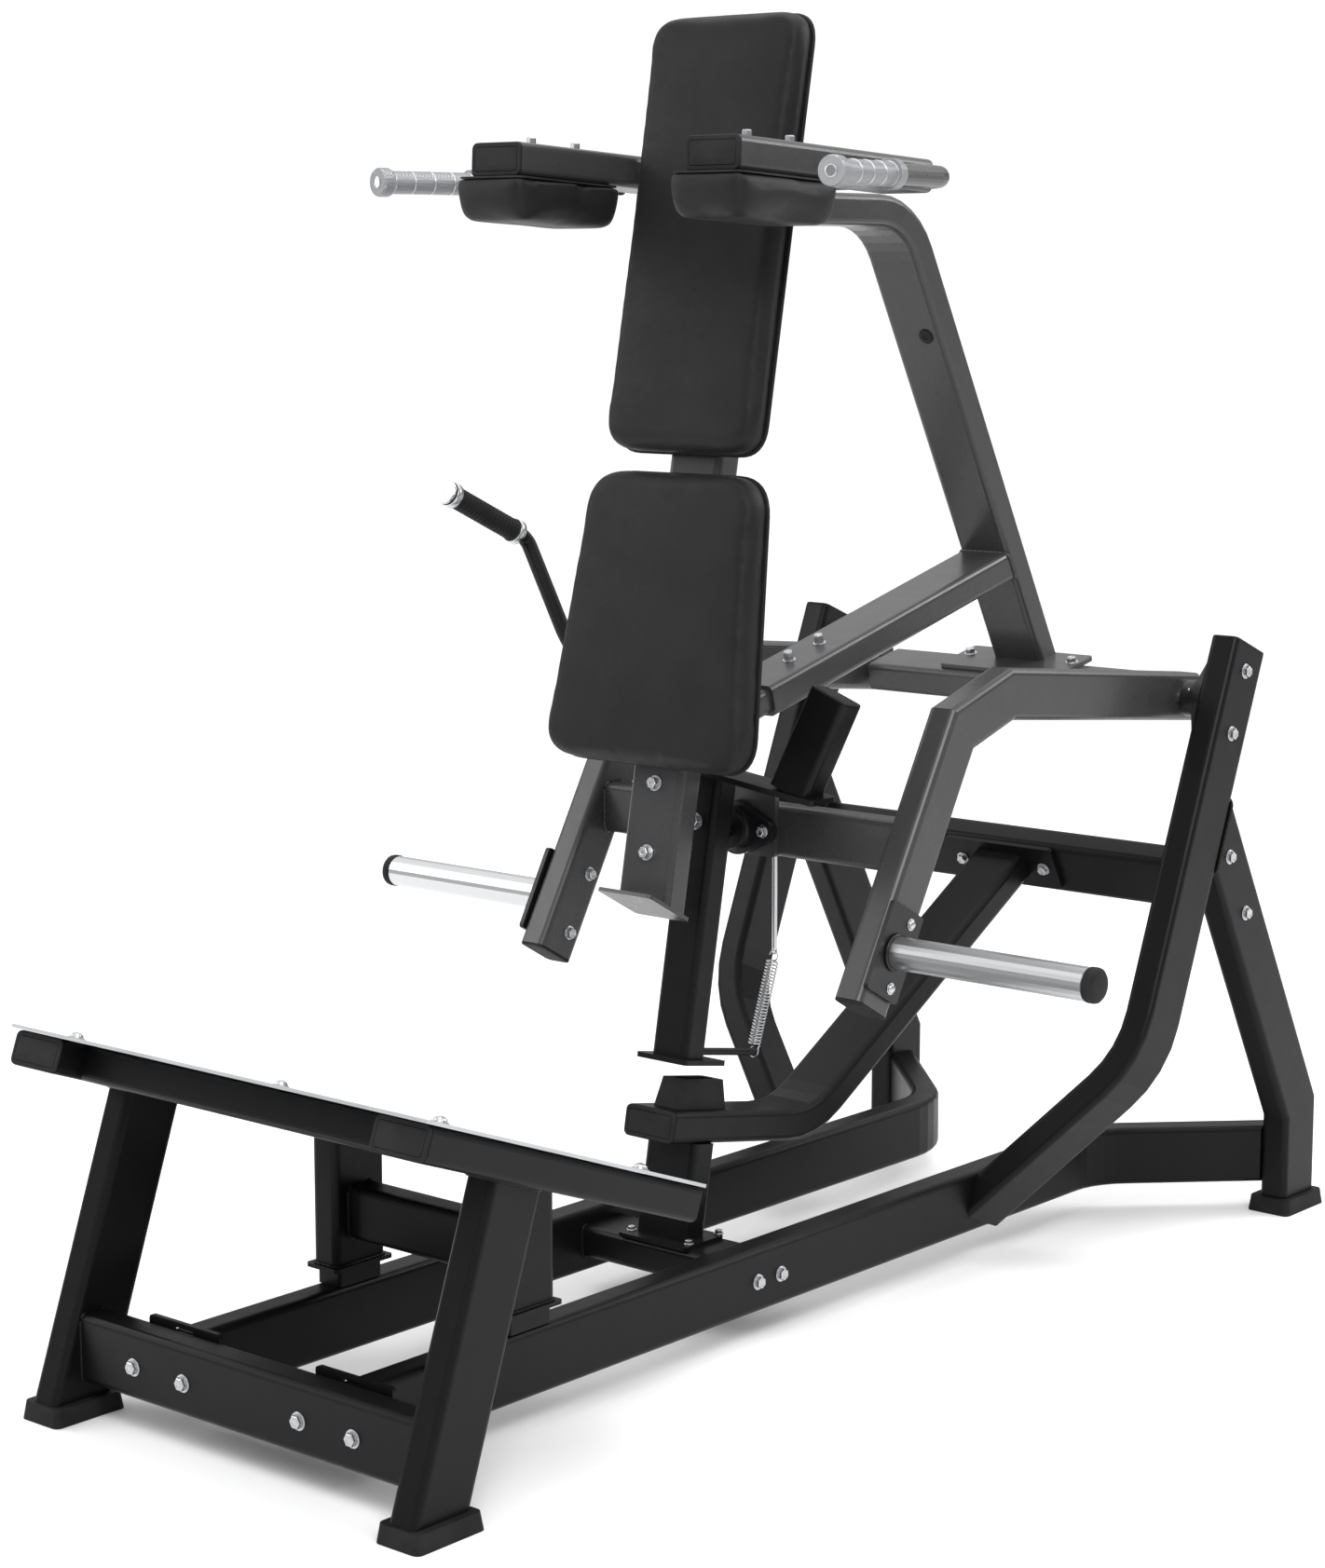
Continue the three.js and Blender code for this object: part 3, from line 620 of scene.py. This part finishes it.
arm_along = tilt(-SHOULDER_FALL)
arm_up = tilt(90 - SHOULDER_FALL)


def shoulder_point(x, along, up):
    return at(x, *SHOULDER_FRONT) + (arm_along * along + arm_up * up) / 1000


def shoulder_place(side, up):
    """A placement under a shoulder arm, with Z pointing down out of it."""
    place = Matrix((X * -1, arm_along, arm_up * -1)).transposed().to_4x4()
    place.translation = shoulder_point(side * SHOULDER_X, 0, up)
    return place


def shoulder_pads():
    corners = [(x / 1000, y / 1000) for x, y in SHOULDER_CORNERS]
    outline = rounded_outline(corners, mm(SHOULDER_CORNER_R), 6)
    for side, tag in ((-1, "L"), (1, "R")):
        start = shrink(outline, REMESH_INSET)
        outline_pad(start, SHOULDER_DEPTH, shoulder_place(side, -28.5), f"shoulder_cushion_{tag}",
                    f"shoulder_pad_{tag}", SHOULDER_CROWN, SHOULDER_LAYERS)
        verts, faces = slab(outline, ((0.007, 0.0), (0.007, SHOULDER_BOARD)))
        piece(f"shoulder_pad_board_{tag}", verts, faces, BOARD, "carriage",
              matrix=shoulder_place(side, -25.8))


# ------------------------------------------------------------------ hardware
slope_down = tilt(-PLATFORM_TILT)
slope_up = tilt(90 - PLATFORM_TILT)


def on_platform(x, s, n):
    return at(x, *PLATFORM_EDGE) + (slope_down * s + slope_up * n) / 1000


def platform_hardware():
    inside = -TUBE_H / 2 - 5.3
    for x in (-SIDE_TUBE_X, SIDE_TUBE_X):
        for s in (78, 489):
            bolt(on_platform(x, s, 0), slope_up, "frame", 8.5, 7, dome=True)
        end_cap(on_platform(x, 16, inside), -slope_down, X, TUBE_W, TUBE_H, "frame")
        end_cap(on_platform(x, 568, inside), slope_down, X, TUBE_W, TUBE_H, "frame")
    for x in (-218, -115, 115, 218):
        bolt(at(x, BEAM_FACE_Y, 98), -Y, "frame", 9, 7)
    for side in (-1, 1):
        end_plate(at(side * RAIL_X, BEAM_FACE_Y + TUBE_H + 0.5, 100))
        for y in (932, 987):
            bolt(at(side * (RAIL_X + TUBE_H / 2), y, 97), X * side, "frame", 8.5, 7)


def end_plate(centre, w=0.146, h=0.116, thick=0.0075):
    """The bolted plate between a base rail and the front beam, seen above the beam."""
    outer = [box_ring(w, h, 0.006, z) for z in (0.0, thick)]
    hole = [box_ring(mm(TUBE_H + 1.2), mm(TUBE_W + 1.2), 0.010, z) for z in (0.0, thick)]
    verts = outer[0] + outer[1] + hole[0] + hole[1]
    n = len(outer[0])
    faces = []
    for j in range(n):
        k = (j + 1) % n
        faces.append((j, k, n + k, n + j))
        faces.append((2 * n + k, 2 * n + j, 3 * n + j, 3 * n + k))
        faces.append((n + j, n + k, 3 * n + k, 3 * n + j))
        faces.append((k, j, 2 * n + j, 2 * n + k))
    place = basis(centre, Y, X)
    piece(label("rail_plate"), verts, faces, BLACK, "frame", matrix=place)


def rear_hardware():
    up = tilt(UPRIGHT_ANGLE)
    outer_x = UPRIGHT_X + TUBE_H / 2
    for side in (-1, 1):
        out = X * side
        for y, z in ((1881, 958), (1842, 859), (1847, 654), (1903, 552)):
            bolt(at(side * outer_x, y, z), out, "frame", 8.5, 7)
        for y, z in ((1881, 958), (1841, 858)):
            bolt(at(side * (BEARING_X - 14), y, z), -out, "frame", 6.5, 6)
        top = at(side * UPRIGHT_X, *UPRIGHT_BEND) + up * mm(UPRIGHT_RISE)
        end_cap(top, up, tilt(UPRIGHT_ANGLE - 90), TUBE_W, TUBE_H, "frame")
        hub = at(side * 372, *PIVOT) + tilt(150) * mm(30)
        grease_nipple(hub, tilt(150), "frame")
    face = -tilt(REAR_LEG_ANGLE - 90)
    for x in (-84, 84):
        bolt(at(x, REAR_BEAM[0] - 3, REAR_BEAM[1] + 5) + face * mm(33.3), face, "frame", 8, 7)


NIPPLE = ((3.2, -1), (3.2, 2), (2.0, 3), (2.0, 5), (2.6, 6), (2.2, 8), (1.0, 9))


def grease_nipple(point, normal, body):
    turned(label("grease_nipple"), NIPPLE, ZINC, body, basis(point, normal), 12)


def stop_hardware():
    fall = tilt(-BRACE_FALL)
    front = at(0, *BRACE_CORNER) - fall * mm(BRACE_RUN)
    end_cap(front, -fall, X, TUBE_W, TUBE_H, "frame")
    for x in (-58, 58):
        for dy in (-36, 36):
            bolt(at(x, 966 + dy, 130.3), Z, "frame", 5.5, 5)


def horn_bolts(side):
    """Dome bolts in a horn plate, and their nuts on the inside of the arm."""
    out = X * side
    for step in (-51, 51):
        shift = tilt(HORN_LEAN) * mm(step) + tilt(HORN_LEAN - 90) * mm(6)
        place = (HORN[0] + 7, HORN[1] - 5)
        bolt(at(side * 350.2, *place) + shift, out, "carriage", 6.5, 4.5, dome=True)
        bolt(at(side * (ARM_X - TUBE_H / 2), *place) + shift, -out, "carriage", 8, 7)


def strut_bolts():
    up = tilt(90 + STRUT_SLOPE)
    for s in (110, 190):
        top = at(0, *STRUT_TOP) + tilt(STRUT_SLOPE) * mm(s) + up * mm(TUBE_H / 2)
        bolt(top, up, "carriage", 7.5, 14)
        bolt(top - up * mm(TUBE_H), -up, "carriage", 8.5, 7)


def carriage_hardware():
    arm_end = (at(0, *ARM_FOOT) - at(0, *ARM_BEND)).normalized()
    shoulder_drop = (SHOULDER_REAR_Y - SHOULDER_FRONT[0]) * 0.052
    for side in (-1, 1):
        horn_bolts(side)
        end_cap(at(side * ARM_X, *ARM_FOOT), arm_end, X, 50, 80, "carriage")
        end_cap(shoulder_point(side * SHOULDER_X, 0, 0), -arm_along, X, TUBE_W, TUBE_H, "carriage")
        rear = at(side * SHOULDER_X, SHOULDER_REAR_Y, SHOULDER_FRONT[1] - shoulder_drop)
        end_cap(rear, arm_along, X, TUBE_W, TUBE_H, "carriage")
        for s in (72, 170):
            bolt(shoulder_point(side * SHOULDER_X, s, TUBE_H / 2), arm_up, "carriage", 7, 11)
    for along in (170, 64):
        bolt(pad_point(0, along, 0), pad_out, "carriage", 8.5, 10)
    for x in (-105, 105):
        bolt(at(x, 1886, 946.3), tilt(102), "carriage", 8, 8)
    strut_bolts()
    flange_y = LOWER_CROSS[0] - TUBE_H / 2 - 22.3
    for x in (-54, 54):
        bolt(at(x, flange_y, 748), -Y, "carriage", 7, 7)
    knob()


PLUG = ((13, 0.1), (13, 2), (11.5, 3.4), (5, 3.9), (4.5, 2.6), (0.5, 2.6))


def knob():
    """A small round plug on the front of the rear diagonal."""
    point = at(20, *DIAGONAL_BEND) + diag_down() * mm(214) + diag_front() * mm(TUBE_H / 2)
    turned("diagonal_plug", PLUG, CAP, "carriage", basis(point, diag_front()), 24)


HORN_RING = ((25.4, 0.2), (29, 0.2), (29, 3), (27.5, 5), (25.4, 5.4))
HORN_TIP = ((25.3, 0.2), (26.2, 1.2), (26.4, 9), (25.6, 13), (22.5, 16), (15, 17.2), (0.5, 17.4))


def horn_details():
    """Base ring and rounded black tip cap on each weight horn."""
    for side in (-1, 1):
        base = at(side * 350.5, *HORN)
        turned(label("horn_weld_ring"), HORN_RING, DARK, "carriage",
               basis(base, X * side), 40, hoop=True, smooth=True)
        tip = at(side * (350.6 + HORN_CAP_AT), *HORN)
        turned(label("horn_cap"), HORN_TIP, CAP, "carriage",
               basis(tip, X * side), 40, smooth=True)


GRIP_RING = ((17.3, -0.9), (18.0, -0.6), (18.0, 0.6), (17.3, 0.9))
GRIP_SCREW = ((9, 0.1), (9, 0.8), (7.6, 1.4), (7.4, 0.5), (0.5, 0.5))


def grip_details():
    """Turned rings along the knurled handle grips, and a screw in each end."""
    splay = math.radians(HANDLE_SPLAY)
    for side in (-1, 1):
        axis = Vector((-side * math.sin(splay), math.cos(splay), 0))
        tip = at(side * HANDLE_TIP[0], *HANDLE_TIP[1:])
        for d in (24, 60, 97, 134, 170):
            turned(label("grip_ring"), GRIP_RING, STEEL, "carriage",
                   basis(tip + axis * mm(d), axis), 36, hoop=True, smooth=True)
        turned(label("grip_screw"), GRIP_SCREW, ZINC, "carriage", basis(tip, -axis), 32)


# ------------------------------------------------------------------ lock lever
LOCK_FOOT = (972, 405)
LOCK_LEAN = 0.185
BRIDGE_X = 162
BRIDGE_FALL = 7
WEIGHT_LEAN = 20
WEIGHT_LONG = 160
BAR_END = (-444, 1176)
GRIP_RUN = 172
COLLAR = ((19.2, 0), (20.6, 0.6), (20.6, 12.6), (19.2, 13.4))
BAR_CAP = ((19.4, 0.2), (19.4, 3.5), (18, 5), (8, 5.2), (7.4, 4.4), (0.5, 4.4))
RIB = ((16.9, -1.8), (17.8, -1.2), (17.9, 0), (17.8, 1.2), (16.9, 1.8))


def lock_point(x, z):
    """A point on the middle plane of the leaning lock leg."""
    return at(x, LOCK_FOOT[0] + (z - LOCK_FOOT[1]) * LOCK_LEAN, z)


lock_up = (lock_point(0, 100) - lock_point(0, 0)).normalized()
lock_back = X.cross(lock_up).normalized() * -1


def lock_details():
    bolt(lock_point(0, 766) - lock_back * mm(TUBE_H / 2), -lock_back, "lock_lever", 9, 8)
    weight_cap()
    grip_dir = Vector((-0.03, -0.906, 0.422)).normalized()
    root = lock_point(*BAR_END) + grip_dir * mm(22.3)
    for d in (0.5, 156):
        turned(label("lock_grip_collar"), COLLAR, STEEL, "lock_lever",
               basis(root + grip_dir * mm(d), grip_dir), 36, hoop=True, smooth=True)
    turned("lock_grip_cap", BAR_CAP, ZINC, "lock_lever",
           basis(root + grip_dir * mm(GRIP_RUN), grip_dir), 36)
    for k in range(16):
        turned(label("lock_grip_rib"), RIB, GRIP, "lock_lever",
               basis(root + grip_dir * mm(22 + k * 8), grip_dir), 30, hoop=True, smooth=True)


def weight_cap():
    """The cap on top of the leaning counterweight tube."""
    lean = math.radians(WEIGHT_LEAN)
    up = Vector((math.sin(lean), LOCK_LEAN, math.cos(lean))).normalized()
    wide = Vector((math.cos(lean), 0, -math.sin(lean)))
    foot_z = 840.8 - (BRIDGE_X - 35) * math.tan(math.radians(BRIDGE_FALL))
    foot = at(BRIDGE_X, LOCK_FOOT[0] + (845 - LOCK_FOOT[1]) * LOCK_LEAN, foot_z)
    end_cap(foot + up * mm(WEIGHT_LONG), up, wide, 72, TUBE_H, "lock_lever")


ROD_AT = 416
ROD_LONG = 170
HANGER_END = (30, 1172, 544)


def spring_ends():
    """Where the spring hooks on: just above the lever's rod, and below the hanger."""
    tip = lock_point(0, ROD_AT) + lock_back * mm(TUBE_H / 2 + 0.3 + ROD_LONG)
    low = tip + lock_back * mm(-8) + Z * mm(8)
    return low, at(*HANGER_END)


def loop(centre, u, v, r, start, stop, steps=16):
    """Points round part of a circle, in the plane of u and v."""
    return [centre + (u * math.cos(a) + v * math.sin(a)) * r
            for a in (math.radians(start + (stop - start) * k / steps) for k in range(steps + 1))]


COIL_R, WIRE_R = 0.0092, 0.0012
COIL_TURNS, TURN_STEPS = 27, 12


def return_spring():
    """A close-wound extension spring, hooked round the lever's rod and an eye on the hanger."""
    low, high = spring_ends()
    axis = (high - low).normalized()
    u = (X - axis * X.dot(axis)).normalized()
    v = axis.cross(u)
    rod = low - Vector((0, 0, mm(8)))
    hook = loop(rod, X, lock_up, 0.0082, -250, 0)
    start, stop = 0.003, (high - low).length - 0.013
    count_up = COIL_TURNS * TURN_STEPS
    body = []
    for k in range(count_up + 1):
        a = 2 * math.pi * k / TURN_STEPS
        along = start + (stop - start) * k / count_up
        body.append(low + axis * along + (u * math.cos(a) + v * math.sin(a)) * COIL_R)
    ring = loop(high - axis * 0.005, u, axis, 0.0078, -90, 190)
    obj = wire_piece("return_spring_coil", hook + body + ring, WIRE_R, 6, ZINC, None)
    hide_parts("return_spring")
    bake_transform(obj)
    eye = loop(high + Z * 0.0035, v, Z, 0.0052, 0, 360, 24)
    wire_piece("hanger_eye", eye, 0.0016, 8, ZINC, "carriage")


def wire_piece(name, path, r, sides, mat, body):
    sections = []
    ref = Z
    for i, p in enumerate(path):
        t = (path[min(i + 1, len(path) - 1)] - path[max(i - 1, 0)]).normalized()
        u = ref - t * ref.dot(t)
        if u.length < 0.05:
            u = Y - t * Y.dot(t)
        u.normalize()
        ref = u
        v = t.cross(u)
        sections.append([p + (u * math.cos(a) + v * math.sin(a)) * r
                         for a in (2 * math.pi * k / sides for k in range(sides))])
    verts, faces = rings(sections)
    return piece(name, verts, faces, mat, body, smooth=True)


# ------------------------------------------------------------------ welds
def frame_welds(side):
    up = tilt(UPRIGHT_ANGLE)
    rear_face = tilt(UPRIGHT_ANGLE - 90)
    upright_back = at(0, *UPRIGHT_BEND) + up * mm(UPRIGHT_RISE) + rear_face * mm(50.2)
    leg_top = at(side * UPRIGHT_X, *REAR_LEG_MITRE) + tilt(REAR_LEG_ANGLE) * mm(560)
    inner_x = side * (RAIL_X - TUBE_H / 2 - 0.2)
    weld_box(at(side * LEG_X, 206, 440), tilt(70.6), X, TUBE_H, TUBE_W, "frame",
             (on_platform(0, 0, -55.7), slope_up))
    weld_box(at(side * 329.8, 85, 100), X, Z, TUBE_W, TUBE_H, "frame")
    weld_box(at(side * RAIL_X, 430, 180.3), Z, X, TUBE_H, TUBE_W, "frame")
    weld_box(at(inner_x, 430, 258), X, Z, 80, TUBE_H, "frame")
    weld_box(at(inner_x, 960, 99), X, Y, TUBE_W, TUBE_H, "frame")
    weld_box(at(side * 396.6, *REAR_BEAM), X, tilt(REAR_LEG_ANGLE), TUBE_W, TUBE_H, "frame")
    weld_box(leg_top, tilt(REAR_LEG_ANGLE), X, TUBE_H, TUBE_W, "frame", (upright_back, rear_face))
    weld_box(at(side * 291.8, *LOWER_CROSS), X, Z, 80, TUBE_H, "carriage")
    weld_box(at(side * 158, 1190, 1753), X, Y, TUBE_W, TUBE_H, "carriage")


def welds():
    for side in (-1, 1):
        frame_welds(side)
    tube_back = (pad_point(0, 0, -50.6), pad_out)
    diagonal_face = (at(0, *DIAGONAL_FOOT) + diag_front() * mm(25.2), diag_front())
    slope = tilt(STRUT_SLOPE)
    weld_box(at(0, 1000, 909.5), slope, X, 88, 40, "carriage", tube_back)
    weld_box(at(0, 1780, 1113), slope, X, TUBE_W, TUBE_H, "carriage", diagonal_face)
    weld_box(at(0, 1150, 1700), Y, X, TUBE_W, TUBE_H, "carriage", tube_back)


def diag_down():
    return (at(0, *DIAGONAL_FOOT) - at(0, *DIAGONAL_BEND)).normalized()


def diag_front():
    """The direction that the rear diagonal's front face looks in."""
    across = diag_down().cross(X)
    return across if across.y < 0 else -across


# ------------------------------------------------------------------ stage
LOOK_DOWN, LOOK_ROUND = 8.8, 40.6


def camera():
    data = bpy.data.cameras.new("camera")
    data.sensor_width = 36
    data.lens = 75.23
    data.shift_x = 0.0014
    data.shift_y = -0.00065
    data.clip_end = 60
    cam = bpy.data.objects.new("camera", data)
    cam.location = at(3186.4, -2786.9, 1597.6)
    cam.rotation_euler = (math.radians(90 - LOOK_DOWN), 0, math.radians(LOOK_ROUND))
    bpy.context.scene.collection.objects.link(cam)
    bpy.context.scene.camera = cam


def floor():
    """A wide flat floor, shaded almost white, and open behind from every side."""
    half, drop = 30.0, -0.0005
    mesh = bpy.data.meshes.new("studio_floor")
    corners = [(-half, -half, drop), (half, -half, drop), (half, half, drop), (-half, half, drop)]
    mesh.from_pydata(corners, [], [(0, 1, 2, 3)])
    mat, tree, bsdf = shader("studio_floor", (0.94, 0.94, 0.94), 0.7, shine=0.1)
    tree.links.new(ramp(tree, noise(tree, 3), (0.93, 0.93, 0.93), (0.95, 0.95, 0.95)),
                   bsdf.inputs["Base Color"])
    mesh.materials.append(mat)
    obj = bpy.data.objects.new("studio_floor", mesh)
    bpy.context.scene.collection.objects.link(obj)


def area(name, place, target, size, power):
    data = bpy.data.lights.new(name, "AREA")
    data.energy = power
    data.size = size
    obj = bpy.data.objects.new(name, data)
    obj.location = place
    obj.rotation_euler = (Vector(target) - Vector(place)).to_track_quat("-Z", "Y").to_euler()
    bpy.context.scene.collection.objects.link(obj)


def lights():
    world = bpy.data.worlds.new("studio")
    world.use_nodes = True
    tree = world.node_tree
    sky = tree.nodes.new("ShaderNodeTexCoord")
    split = tree.nodes.new("ShaderNodeSeparateXYZ")
    tree.links.new(sky.outputs["Generated"], split.inputs["Vector"])
    glow = ramp(tree, split.outputs["Z"], (0.12, 0.12, 0.125), (1, 1, 1), 0.08, 0.62)
    seen = tree.nodes.new("ShaderNodeLightPath")
    mix = tree.nodes.new("ShaderNodeMix")
    mix.data_type = "RGBA"
    tree.links.new(seen.outputs["Is Camera Ray"], mix.inputs["Factor"])
    tree.links.new(glow, mix.inputs["A"])
    mix.inputs["B"].default_value = (0.8, 0.8, 0.8, 1)
    tree.links.new(mix.outputs["Result"], tree.nodes["Background"].inputs["Color"])
    tree.nodes["Background"].inputs["Strength"].default_value = 1.35
    bpy.context.scene.world = world
    area("key", (3.2, -3.0, 4.2), (0, 0, 0.8), 2.2, 130)
    area("fill", (-3.6, -2.2, 2.6), (0, 0, 0.9), 2.0, 45)
    area("top", (0.0, 0.4, 5.0), (0, 0.2, 0), 2.4, 60)
    area("rim", (2.2, 3.6, 3.4), (0, 0.2, 0.9), 1.6, 70)
    bpy.context.scene.view_settings.view_transform = "Standard"


camera()
floor()
lights()
dress_nodes()
back_pads()
shoulder_pads()
platform_hardware()
rear_hardware()
stop_hardware()
carriage_hardware()
horn_details()
grip_details()
lock_details()
return_spring()
welds()
